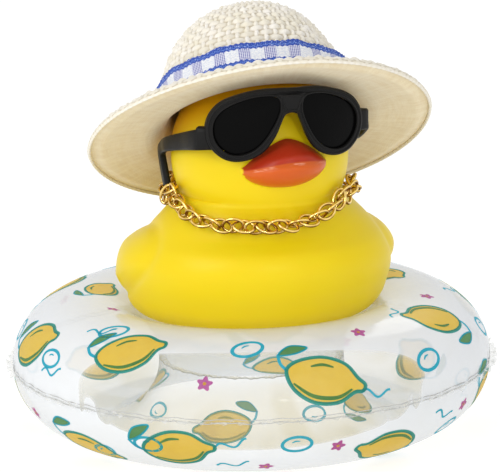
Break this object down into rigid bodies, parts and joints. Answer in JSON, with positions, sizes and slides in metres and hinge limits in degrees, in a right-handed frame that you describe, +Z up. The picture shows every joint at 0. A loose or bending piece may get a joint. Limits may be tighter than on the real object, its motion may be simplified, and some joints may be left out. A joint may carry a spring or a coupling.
{
  "type": "rubber duck",
  "caption": "Moulded rubber duck in a straw sun hat, sunglasses and a neck chain, seated on a clear inflatable ring.",
  "frame": {"origin": "below the middle of the ring, on the surface that it rests on", "axes": "+Z up; the duck looks along -Y, its left side is +X"},
  "size_m": [0.091, 0.091, 0.078],
  "materials": {
    "yellow_vinyl": "soft moulded vinyl, satin; the beak is the same moulding, painted orange-red",
    "squeaker_plastic": "white plastic disc with one small hole",
    "clear_printed_vinyl": "clear glossy inflatable film with a coloured print",
    "valve_vinyl": "milky clear soft plastic",
    "woven_straw": "basket-woven cream and ivory paper straw, matte",
    "hat_lining_cloth": "thin beige cloth, matte",
    "woven_ribbon": "blue and white checked woven ribbon",
    "black_frame": "satin black moulded plastic",
    "dark_lens": "glossy opaque black",
    "gold_plated_chain": "polished gold plating"
  },
  "bodies": {
    "root": {"duck_body": "yellow_vinyl", "squeaker": "squeaker_plastic", "ring_upper_film": "clear_printed_vinyl", "ring_lower_film": "clear_printed_vinyl", "inflation_valve": "valve_vinyl", "valve_plug": "valve_vinyl", "straw_hat": "woven_straw", "hat_lining": "hat_lining_cloth", "hat_ribbon": "woven_ribbon", "sunglasses_frame": "black_frame", "left_lens": "dark_lens", "right_lens": "dark_lens", "neck_chain": "gold_plated_chain"}
  },
  "joints": []
}
